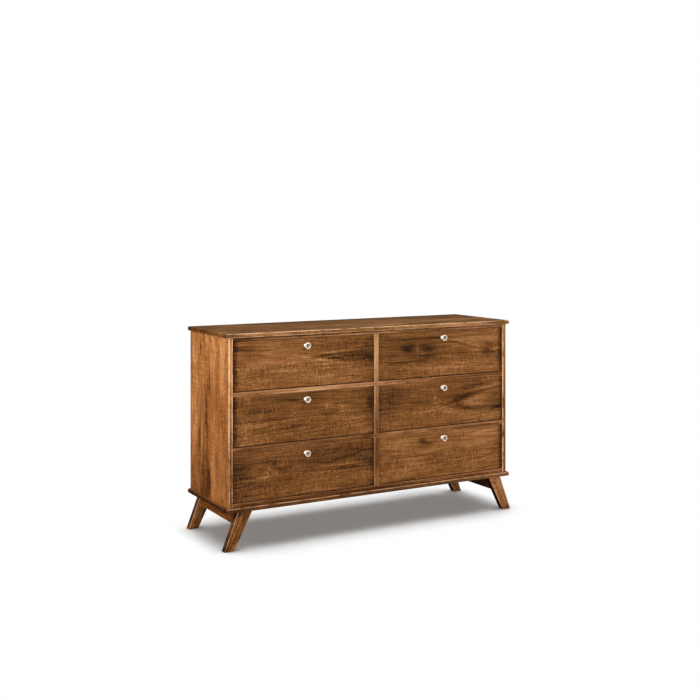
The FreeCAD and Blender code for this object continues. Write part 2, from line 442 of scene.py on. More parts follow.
class WoodGroup:
    """The figure of stained wood, as one node group that every board shares.

    Its place has the board's middle at zero, and runs along, across and through the grain. Tones are shares
    of the way from the dark colour, over the middle one at a half, to the pale one.
    """

    NAME = "stained wood"
    COLOURS = ("Dark", "Middle", "Pale", "Worn")
    AMOUNTS = ("Streak", "Grain", "Chatter", "Speckle", "Fibre", "Blotch", "Ring", "Curl", "Pore", "Hue",
               "Wear", "End grain", "Roughness")
    CUTS = ("Seed", "Stave", "Stave shift")
    # Cloud carries the board's tone and marks together with the painted shade and highlight of its bands
    # and flanks
    FOUND = ("Cloud", "Swirl", "Arris", "End")
    OUTPUTS = {"Color": "Color", "Roughness": "Float", "Height": "Float"}

    STAVE_SEED_STEP = 7.31
    STAVE_TONE = 0.22
    SEAM_WIDTH = 0.0015
    SEAM_TONE = -0.3

    WANDER = Layer(1.3, 3.0, 0.0, 2.0)
    WANDER_REACH = 0.07
    HEART_DEPTH = 0.09
    HEART_TILT = 0.06
    RING_SPACING = 0.013
    RING_RISE = (0.35, 0.93)
    RING_FALL = (1.0, 0.95)
    RING_TONE = 0.3
    RING_RIPPLE = Layer(5.0, 16.0, 2.0)
    RING_RIPPLE_REACH = 0.02
    RING_FADE = Layer(2.0, 6.0, 5.0, 1.0)
    RING_FADE_EDGE = (-0.18, 0.18)

    FLOWING = {
        "Streak": Layer(3.6, 26.0, 3.0, 4.0, 0.6),
        "Grain": Layer(8.0, 150.0, 6.0, 3.0, 0.65),
        "Speckle": Layer(150.0, 210.0, 29.0, 2.0, 0.6),
        "Fibre": Layer(30.0, 520.0, 9.0, 2.0),
    }
    BLOTCH = Layer(4.0, 10.0, 11.0, 4.0, 0.6)
    PATCH = Layer(2.5, 7.0, 19.0, 1.0)
    PATCH_EDGE = (-0.12, 0.16)
    CURL = Layer(64.0, 15.0, 17.0, 3.0, 0.6)
    CHATTER = Layer(165.0, 32.0, 14.0, 2.0, 0.6)
    CHATTER_LEAST = 0.25
    PORES = Layer(60.0, 620.0, 21.0, 2.0, 0.6)
    PORE_EDGE = (0.06, 0.2)

    WARMTH = Layer(2.4, 11.0, 27.0, 4.0, 0.6)
    WARMTH_SPREAD = 2.2
    COOL_TINT = (0.95, 1.04, 0.96, 1.0)
    WARM_TINT = (1.07, 0.96, 1.02, 1.0)
    WEAR_AND_HIGHLIGHT_PATCH = Layer(16.0, 30.0, 23.0, 3.0, 0.6)
    WEAR_AND_HIGHLIGHT_PATCH_EDGE = (-0.2, 0.08)
    STREAK_ROUGHNESS = 0.16
    FIBRE_HEIGHT = 0.6

    @classmethod
    def tree(cls) -> bpy.types.NodeTree:
        """Gives the group's tree, and builds it the first time."""
        return bpy.data.node_groups.get(cls.NAME) or cls().graph.tree

    def __init__(self) -> None:
        """Builds the group, with a colour, a roughness and a height as outputs."""
        self.graph = Graph(self.empty_tree())
        self.given = self.graph.add("NodeGroupInput").outputs
        self.place = self.given["Place"]
        self.along, self.across, self.depth = self.graph.split(self.place)
        self.seed, stave_tone, seam = self.staves()
        wander = self.graph.layer(self.place, self.WANDER, self.seed)
        bent = self.graph.scaled(wander, self.WANDER_REACH, self.across)
        layers = self.layers(bent)
        colour = self.colour(self.tone(layers, stave_tone, seam))
        roughness = self.graph.scaled(layers["Streak"], self.STREAK_ROUGHNESS, self.given["Roughness"])
        height = self.graph.scaled(layers["Fibre"], self.FIBRE_HEIGHT, layers["Grain"])
        self.graph.add("NodeGroupOutput", {"Color": colour, "Roughness": roughness, "Height": height})

    def empty_tree(self) -> bpy.types.NodeTree:
        """Makes the group's tree, with its inputs and outputs but no nodes.

        Returns:
            The tree.
        """
        tree = bpy.data.node_groups.new(self.NAME, "ShaderNodeTree")
        inputs = {"Place": "Vector", **dict.fromkeys(self.COLOURS, "Color"),
                  **dict.fromkeys((*self.AMOUNTS, *self.CUTS, *self.FOUND), "Float")}
        for way, kinds in (("INPUT", inputs), ("OUTPUT", self.OUTPUTS)):
            for name, kind in kinds.items():
                tree.interface.new_socket(name, in_out=way, socket_type="NodeSocket" + kind)
        return tree

    def staves(self) -> tuple[Value, Value, Value]:
        """Glues the board up from staves.

        Returns:
            The stave's seed, its own tone from -0.5 to 0.5, and 1 on a seam between two staves.
        """
        graph, given = self.graph, self.given
        place = graph.sum("DIVIDE", graph.plus(self.across, given["Stave shift"]), given["Stave"])
        seed = graph.scaled(graph.sum("FLOOR", place), self.STAVE_SEED_STEP, given["Seed"])
        chance = graph.add("ShaderNodeTexWhiteNoise", {"W": seed}, noise_dimensions="1D").outputs["Value"]
        inside = graph.sum("FRACT", place)
        from_seam = graph.sum("MINIMUM", inside, graph.minus(1.0, inside))
        seam = graph.step(graph.times(from_seam, given["Stave"]), self.SEAM_WIDTH, 0.0)
        return seed, graph.minus(chance, 0.5), seam

    def rings(self, bent: Value) -> Value:
        """Draws growth rings about the heart of the tree, each with a dark line, which come and go.

        Args:
            bent: The coordinate across the grain, bent as the grain wanders.

        Returns:
            How much paler they make the wood.
        """
        graph = self.graph
        ripple = graph.layer(self.place, self.RING_RIPPLE, self.seed)
        below = graph.scaled(self.along, self.HEART_TILT, self.HEART_DEPTH)
        below = graph.plus(below, self.depth)
        radius = graph.sum("SQRT", graph.squares(bent, below))
        radius = graph.scaled(ripple, self.RING_RIPPLE_REACH, radius)
        radius = graph.plus(radius, self.given["Swirl"])
        phase = graph.sum("FRACT", graph.sum("DIVIDE", radius, self.RING_SPACING))
        line = graph.times(graph.step(phase, *self.RING_RISE), graph.step(phase, *self.RING_FALL))
        fade = graph.step(graph.layer(self.place, self.RING_FADE, self.seed), *self.RING_FADE_EDGE)
        return graph.times(graph.minus(self.RING_TONE, line), fade)

    def layers(self, bent: Value) -> dict[str, Value]:
        """Makes the layers of the figure, most of which follow the bent grain.

        Args:
            bent: The coordinate across the grain, bent as the grain wanders.

        Returns:
            Each layer, by the name of the amount that it is taken in.
        """
        graph, seed = self.graph, self.seed
        flow = graph.join(self.along, graph.plus(bent, self.given["Swirl"]), self.depth)
        layers = {name: graph.layer(flow, layer, seed) for name, layer in self.FLOWING.items()}
        layers["Blotch"] = graph.layer(self.place, self.BLOTCH, seed)
        layers["Ring"] = self.rings(bent)
        patch = graph.step(graph.layer(self.place, self.PATCH, seed), *self.PATCH_EDGE)
        layers["Curl"] = graph.times(graph.layer(flow, self.CURL, seed), patch)
        share = graph.scaled(patch, 1.0 - self.CHATTER_LEAST, self.CHATTER_LEAST)
        layers["Chatter"] = graph.times(graph.layer(flow, self.CHATTER, seed), share)
        pores = graph.step(graph.layer(flow, self.PORES, seed), *self.PORE_EDGE)
        layers["Pore"] = graph.times(pores, -1.0)
        return layers

    def tone(self, layers: dict[str, Value], stave_tone: Value, seam: Value) -> Value:
        """Adds up the tone of the wood.

        Args:
            layers: The layers of the figure.
            stave_tone: The stave's own tone.
            seam: 1 on a seam between two staves.

        Returns:
            The tone, from 0 for the darkest wood to 1 for the palest.
        """
        graph, given = self.graph, self.given
        tone = graph.plus(given["Cloud"], 0.5)
        for amount, layer in layers.items():
            tone = graph.scaled(layer, given[amount], tone)
        tone = graph.scaled(stave_tone, self.STAVE_TONE, tone)
        tone = graph.scaled(seam, self.SEAM_TONE, tone)
        return graph.minus(tone, graph.times(given["End"], given["End grain"]))

    def colour(self, tone: Value) -> Value:
        """Stains the wood by its tone, lets the hue drift and pales the edges, partly as rubbing from use
        and partly as a painted highlight.

        Args:
            tone: The tone, from 0 for the darkest wood to 1 for the palest.

        Returns:
            The colour.
        """
        graph, given = self.graph, self.given
        low = graph.mix(graph.times(tone, 2.0, clamp=True), given["Dark"], given["Middle"])
        colour = graph.mix(graph.scaled(tone, 2.0, -1.0, clamp=True), low, given["Pale"])
        warmth = graph.times(graph.layer(self.place, self.WARMTH, self.seed), given["Hue"])
        warmth = graph.scaled(warmth, self.WARMTH_SPREAD, 0.5, clamp=True)
        colour = graph.mix(1.0, colour, graph.mix(warmth, self.COOL_TINT, self.WARM_TINT), "MULTIPLY")
        # Paled edges: partly rubbing from use, partly a painted highlight
        patch = graph.step(graph.layer(self.place, self.WEAR_AND_HIGHLIGHT_PATCH, self.seed), *self.WEAR_AND_HIGHLIGHT_PATCH_EDGE)
        kept = graph.scaled(given["Cloud"], 2.0, 1.0, clamp=True)
        worn = graph.times(graph.times(given["Arris"], given["Wear"]), graph.times(patch, kept))
        return graph.mix(worn, colour, given["Worn"])


class BoardMaterial:
    """Builds the material of one board from how it was cut."""

    SHEEN = 0.05
    BUMP_HEIGHT = 0.4 * MM
    END_FACING = (0.6, 0.9)
    FLANK_FACING = (0.5, 0.9)
    ARRIS_EDGE_SHARES = (1.25, 0.75)
    BAND_CORE_SHARE = 0.2
    SWAY = Layer(9.0, 26.0, 31.0, 3.0, 0.6)
    SWAY_ALONG = 0.05
    DRIFT = Layer(11.0, 22.0, 37.0, 3.0, 0.6)
    DRIFT_ACROSS = 0.02
    RIPPLES = 3.0
    RIPPLE_REACH = 1.6
    RIPPLE_SHARPNESS = 3.0
    RIPPLE_RISE = (-0.4, 0.5)
    OUTLINE_PITCH = 5.0
    OUTLINE_GAIN = 2.33
    OUTLINE_INSIDE = (1.2, 0.6)
    OUTLINE_FALL = (0.3, -0.9)
    OUTLINE_BREAKS = Layer(17.0, 40.0, 41.0, 2.0)
    OUTLINE_BREAKS_EDGE = (-0.24, 0.08)

    def __init__(self, board: Board) -> None:
        """Finds the board's box in the frame, and starts its material.

        Args:
            board: How the board was cut, stained and worn.
        """
        self.board = board
        self.low, self.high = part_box(board.node)
        self.thick = next(axis for axis in Axis if axis not in (board.grain, board.across))
        self.material, self.graph = new_material(board.node + " wood")
        middle = tuple((self.low + self.high) / 2)
        centred = self.graph.vector("SUBTRACT", self.graph.coordinates("Object"), middle)
        self.centred = self.graph.split(centred)
        self.depths = self.find_depths()
        if any(board.taper):
            across = self.graph.minus(self.depths[Side.FOOT], self.depths[Side.HEAD])
            self.centred[board.across.value] = self.graph.times(across, 0.5)

    def size(self, axis: Axis) -> float:
        """The board's size along one axis of the frame."""
        return self.high[axis.value] - self.low[axis.value]

    def find_depths(self) -> dict[Side, Value]:
        """Works out how far in the point lies from each end and from each edge, which may taper.

        Returns:
            How far in it lies from each side.
        """
        board, graph = self.board, self.graph
        found: dict[Side, Value] = {}
        for side in Side:
            which, way = side.value
            axis = getattr(board, which)
            found[side] = graph.scaled(self.centred[axis.value], way, self.size(axis) / 2)
        for side, move in zip((Side.FOOT, Side.HEAD), board.taper):
            inward = move * side.value[1]
            far = Side.LOW_END if inward > 0 else Side.HIGH_END
            if move:
                run = graph.times(found[far], abs(inward) / self.size(board.grain))
                found[side] = graph.minus(found[side], run)
        return found

    def arris(self) -> Value:
        """Finds the edges that are paled, partly as rubbing from use and partly as a painted highlight.

        Returns:
            1 where the point lies near two faces of the board, 0 elsewhere.
        """
        board, graph, depths = self.board, self.graph, self.depths
        middle, way = self.centred[self.thick.value], board.worn_way
        outward = graph.times(middle, way) if way else graph.sum("ABSOLUTE", middle)
        inside = {
            board.grain: graph.sum("MINIMUM", depths[Side.LOW_END], depths[Side.HIGH_END]),
            board.across: graph.sum("MINIMUM", depths[Side.FOOT], depths[Side.HEAD]),
            self.thick: graph.minus(self.size(self.thick) / 2, outward),
        }
        total: Value = -1.0
        for axis, depth in inside.items():
            reach = board.arris[axis.value]
            if reach:
                near = graph.step(depth, *(reach * share for share in self.ARRIS_EDGE_SHARES))
                total = graph.plus(near, total)
        return graph.plus(total, 0.0, clamp=True)

    def side_tones(self, facing: Value, sway: Value) -> Value:
        """Adds up the board's own tone, its flanks' tones and its bands, which are painted shade on the
        legs' flanks and in most bands, and a painted highlight on the top's edges.

        Args:
            facing: How far the point's face looks across the grain, from -1 to 1.
            sway: The noise by which bands sway.

        Returns:
            How much paler the wood is.
        """
        graph = self.graph
        cloud_and_painted_light: Value = self.board.tone
        for way, tone in zip((-1.0, 1.0), self.board.flank_tones):
            flank = graph.step(graph.times(facing, way), *self.FLANK_FACING)
            cloud_and_painted_light = graph.scaled(flank, tone, cloud_and_painted_light)
        for band in self.board.bands:
            depth = graph.scaled(sway, band.sway, self.depths[band.side])
            shown = graph.step(depth, band.reach, band.reach * self.BAND_CORE_SHARE)
            cloud_and_painted_light = graph.scaled(shown, band.tone, cloud_and_painted_light)
        return cloud_and_painted_light

    def mark(self, along: Value, across: Value, breaks: Value, mark: Mark) -> tuple[Value, Value]:
        """Works out where one mark shows.

        Args:
            along: The coordinate along the grain, from the board's middle.
            across: The coordinate across the grain.
            breaks: Where an outline is whole, 1, and where it is broken, 0.
            mark: The mark.

        Returns:
            How strongly it shows, 1 at its middle, and how much paler it makes the wood there.
        """
        board, graph = self.board, self.graph
        along = graph.minus(along, mark.along_share * self.size(board.grain))
        across = graph.minus(across, mark.across_share * self.size(board.across))
        across = graph.scaled(along, -mark.lean, across)
        long = graph.sum("DIVIDE", along, mark.length)
        wide = graph.sum("DIVIDE", across, mark.width)
        if mark.outline:
            return self.outlined(long, wide, breaks, mark)
        square = graph.squares(long, wide)
        shown = graph.sum("EXPONENT", graph.times(square, -1.0))
        paler: Value = graph.times(shown, mark.tone)
        if mark.ripple:
            turns_to_edge = 2 * math.pi * self.RIPPLES / self.RIPPLE_REACH
            turn = graph.times(graph.sum("SQRT", square), turns_to_edge)
            crest = graph.scaled(graph.sum("COSINE", turn), 0.5, 0.5)
            crest = graph.sum("POWER", crest, self.RIPPLE_SHARPNESS)
            crest = graph.times(crest, graph.step(long, *self.RIPPLE_RISE))
            paler = graph.scaled(graph.times(crest, shown), mark.ripple, paler)
        return shown, paler

    def outlined(self, long: Value, wide: Value, breaks: Value, mark: Mark) -> tuple[Value, Value]:
        """Works out where a mark with an outline shows.

        Args:
            long: The distance along the grain from the mark's middle, in half lengths.
            wide: The distance across the grain, in half widths.
            breaks: Where the outline is whole, 1, and where it is broken, 0.
            mark: The mark.

        Returns:
            How strongly it shows, 1 inside it, and how much paler it makes the wood there.
        """
        graph = self.graph
        reach = graph.sum("POWER", graph.sum("ABSOLUTE", long), mark.point)
        reach = graph.plus(graph.sum("POWER", graph.sum("ABSOLUTE", wide), mark.point), reach)
        reach = graph.sum("POWER", reach, 1 / mark.point)
        shown = graph.step(reach, *self.OUTLINE_INSIDE)
        from_edge = graph.scaled(reach, -self.OUTLINE_PITCH, self.OUTLINE_PITCH)
        fade = graph.sum("EXPONENT", graph.times(graph.times(from_edge, from_edge), -1.0))
        line = graph.times(graph.times(from_edge, fade), mark.outline * self.OUTLINE_GAIN)
        fall = graph.times(breaks, graph.step(long, *self.OUTLINE_FALL))
        return shown, graph.scaled(shown, mark.tone, graph.times(line, fall))

    def marks(self, place: Value, sway: Value, cloud_and_painted_light: Value) -> tuple[Value, Value]:
        """Adds the board's marks to its tone.

        Args:
            place: The point, along, across and through the grain.
            sway: The noise by which marks sway along the grain.
            cloud_and_painted_light: How much paler the wood is without them.

        Returns:
            How much paler the wood is, and how far the grain is bent.
        """
        board, graph = self.board, self.graph
        along = graph.scaled(sway, self.SWAY_ALONG, self.centred[board.grain.value])
        drift = graph.layer(place, self.DRIFT, board.seed)
        across = graph.scaled(drift, self.DRIFT_ACROSS, self.centred[board.across.value])
        breaks = graph.step(graph.layer(place, self.OUTLINE_BREAKS, board.seed), *self.OUTLINE_BREAKS_EDGE)
        swirl: Value = 0.0
        for mark in board.marks:
            shown, paler = self.mark(along, across, breaks, mark)
            cloud_and_painted_light = graph.plus(paler, cloud_and_painted_light)
            if mark.swirl:
                swirl = graph.scaled(shown, mark.swirl, swirl)
        return cloud_and_painted_light, swirl

    def build(self) -> bpy.types.Material:
        """Builds the board's material.

        Returns:
            The material.
        """
        board, graph = self.board, self.graph
        place = graph.join(*(self.centred[axis.value] for axis in (board.grain, board.across, self.thick)))
        facing = graph.split(graph.coordinates("Normal"))
        sway = graph.layer(place, self.SWAY, board.seed)
        cloud_and_painted_light, swirl = self.marks(place, sway, self.side_tones(facing[board.across.value], sway))
        fed = {"Place": place, "Cloud": cloud_and_painted_light, "Swirl": swirl, "Arris": self.arris(),
               "End": graph.step(graph.sum("ABSOLUTE", facing[board.grain.value]), *self.END_FACING)}
        for name in WoodGroup.COLOURS:
            fed[name] = stain(*getattr(board.stain, field_name(name)))
        for name in WoodGroup.AMOUNTS:
            fed[name] = getattr(board.stain, field_name(name))
        for name in WoodGroup.CUTS:
            fed[name] = getattr(board, field_name(name))
        wood = graph.add("ShaderNodeGroup", node_tree=WoodGroup.tree())
        for name, value in fed.items():
            graph.feed(wood.inputs[name], value)
        bump = graph.add("ShaderNodeBump", {"Strength": board.stain.bump, "Distance": self.BUMP_HEIGHT,
                                            "Height": wood.outputs["Height"]})
        graph.surface(graph.add("ShaderNodeBsdfPrincipled", {
            "Base Color": wood.outputs["Color"], "Roughness": wood.outputs["Roughness"],
            "Normal": bump.outputs["Normal"], "Specular IOR Level": self.SHEEN}))
        return self.material


FRONT_STAIN = Stain("drawer front", (50, 28, 12), (138, 88, 44), (208, 148, 96), (184, 132, 86), wear=0.6,
                    grain=1.0, speckle=1.15, chatter=0.72)
CASE_STAIN = Stain("case", (72, 36, 12), (152, 94, 44), (218, 154, 98), (252, 208, 168), streak=0.62,
                   grain=0.9, chatter=0.9, speckle=1.0, blotch=1.35, ring=0.2, wear=0.9)
BASE_STAIN = Stain("base", (44, 12, 0), (112, 72, 40), (176, 124, 80), (226, 178, 138), end_grain=0.5,
                   wear=0.75)
RAIL_STAIN = Stain("rail", (72, 38, 14), (152, 99, 56), (216, 162, 116), (214, 160, 118), wear=0.4,
                   blotch=0.9)
STILE_STAIN = Stain("stile", (66, 34, 10), (146, 94, 50), (222, 168, 118), (238, 188, 146), wear=0.5)
TOP_STAIN = Stain("top", (70, 36, 8), (116, 75, 30), (192, 138, 88), (250, 206, 164), end_grain=0.3,
                  streak=1.15, grain=1.3, blotch=1.3, speckle=1.0, chatter=0.5, wear=1.0)
LEG_STAIN = Stain("leg", (34, 14, 2), (134, 85, 42), (206, 148, 102), (234, 186, 140), streak=0.7,
                  grain=1.05, chatter=0.9, blotch=1.5, end_grain=0.3, wear=0.85)
LEG_RAIL_STAIN = Stain("leg rail", (44, 14, 0), (130, 74, 20), (206, 140, 84), (222, 170, 122), blotch=1.2,
                       grain=1.0)
BOX_WOOD = Stain("drawer box", (176, 140, 98), (206, 172, 128), (226, 196, 154), (222, 192, 152), wear=0.2,
                 grain=0.4, chatter=0.2, speckle=0.15, pore=0.05, end_grain=0.3)
BACK_WOOD = Stain("back", (128, 82, 42), (182, 132, 82), (214, 170, 120), (214, 172, 126), streak=0.6,
                  grain=0.6, chatter=0.25, speckle=0.3, blotch=0.9, ring=0.3, wear=0.3)


class Wardrobe:
    """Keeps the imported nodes, and dresses boards by name."""

    def __init__(self, nodes: dict[str, bpy.types.Object]) -> None:
        """Takes the frame's nodes."""
        self.nodes = nodes

    def board(self, board: Board) -> None:
        """Dresses one board."""
        dress(self.nodes[board.node], BoardMaterial(board).build())


# Clouds, streaks and knots, placed where the boards show them
# Some marks paint shade instead: on the rails, and at the legs' heads
LEFT_PANEL_MARKS = (
    Mark(0.22, -0.02, 0.05, 0.006, -0.36), Mark(0.01, 0.055, 0.09, 0.008, -0.34),
    Mark(-0.28, 0.025, 0.1, 0.012, -0.2), Mark(-0.43, -0.015, 0.06, 0.012, -0.2),
    Mark(-0.25, 0.05, 0.2, 0.035, -0.16), Mark(0.4, 0.2, 0.03, 0.012, -0.34, lean=0.3),
    Mark(-0.3, 0.28, 0.14, 0.05, -0.06), Mark(0.3, -0.25, 0.2, 0.07, 0.08),
    Mark(0.3, 0.4, 0.28, 0.08, 0.18), Mark(0.33, 0.18, 0.1, 0.035, 0.08),
    Mark(0.4, -0.22, 0.12, 0.08, 0.12), Mark(0.148, -0.42, 0.07, 0.035, -0.2),
    Mark(0.1, -0.16, 0.09, 0.035, -0.1), Mark(-0.148, 0.34, 0.08, 0.026, 0.22),
    Mark(-0.24, 0.13, 0.14, 0.05, -0.2), Mark(-0.38, 0.02, 0.12, 0.07, -0.26),
    Mark(-0.5, 0.0, 0.06, 0.3, -0.12), Mark(-0.3, -0.42, 0.13, 0.035, -0.2),
    Mark(-0.15, -0.15, 0.07, 0.03, 0.1),
)
# On the top rail, the long dark line along its upper edge is a painted shadow under the top; the bottom
# rail's two dark clouds are painted shade
RAIL_MARKS = {
    "bottom_rail": (Mark(-0.45, 0.0, 0.1, 0.05, -0.1), Mark(-0.1, 0.0, 0.4, 0.05, -0.34)),
    "lower_rail": (Mark(-0.3, 0.0, 0.45, 0.05, -0.22), Mark(0.07, 0.0, 0.05, 0.05, 0.24),
                   Mark(-0.45, 0.0, 0.05, 0.05, -0.14), Mark(-0.29, 0.0, 0.06, 0.05, 0.14),
                   Mark(-0.035, 0.0, 0.04, 0.05, -0.26)),
    "upper_rail": (Mark(-0.25, 0.0, 0.5, 0.05, 0.34), Mark(0.5, 0.0, 0.25, 0.05, -0.22)),
    "top_rail": (Mark(-0.5, 0.0, 0.1, 0.05, -0.36), Mark(0.0, 0.0, 0.9, 0.05, 0.16),
                 # Painted shadow under the top's overhang
                 Mark(-0.5, 0.5, 0.95, 0.006, -0.8)),
    "rear_rail": (),
}
LEFT_EDGE_MARKS = (Mark(0.38, -0.5, 0.25, 0.004, 0.25), Mark(-0.4, -0.5, 0.36, 0.004, -0.44))
RIGHT_EDGE_MARKS = (Mark(0.4, -0.5, 0.3, 0.004, 0.12), Mark(-0.5, -0.5, 0.12, 0.004, -0.1))
STILE_MARKS = (Mark(0.4, 0.0, 0.24, 0.2, 0.5), Mark(-0.16, 0.0, 0.28, 0.2, -0.13),
               Mark(-0.3, 0.1, 0.2, 0.002, -0.26))
TOP_MARKS = (Mark(-0.49, -0.5, 0.06, 0.006, -0.4), Mark(0.45, -0.5, 0.14, 0.006, -0.24))
BASE_MARKS = (Mark(-0.5, -0.5, 0.16, 0.03, -0.2), Mark(-0.02, -0.5, 0.3, 0.03, -0.12),
              Mark(0.42, -0.5, 0.16, 0.03, 0.22))
# Each leg is darker at its foot, and darker at its head, where the dark is painted shade under the base
LEG_MARKS = (Mark(-0.5, 0.0, 0.02, 0.05, -0.15), Mark(0.5, 0.0, 0.02, 0.05, -0.12))
OWN_LEG_MARKS = {
    "front_left_leg": (
        Mark(-0.2, -0.3, 0.02, 0.009, -0.3), Mark(-0.14, 0.32, 0.016, 0.008, -0.26),
        Mark(0.12, 0.1, 0.03, 0.012, 0.14), Mark(-0.38, 0.2, 0.014, 0.012, 0.14),
        Mark(0.42, -0.2, 0.02, 0.014, -0.2),
    ),
    "front_right_leg": (Mark(0.0, 0.5, 0.2, 0.005, -0.3), Mark(-0.46, 0.1, 0.014, 0.03, -0.2)),
}
FRONT_TONES = {
    "upper_left": 0.0, "middle_left": -0.03, "lower_left": -0.06,
    "upper_right": -0.04, "middle_right": -0.14, "lower_right": 0.09,
}
# Painted shadow at both ends of each drawer front, where the case beside it shades it: how much darker its
# low and its high end are
FRONT_END_SHADOWS = {
    "upper_left": (-0.42, -0.12), "middle_left": (-0.36, -0.16), "lower_left": (-0.12, -0.2),
    "upper_right": (-0.06, -0.26), "middle_right": (-0.14, -0.16), "lower_right": (-0.08, -0.36),
}
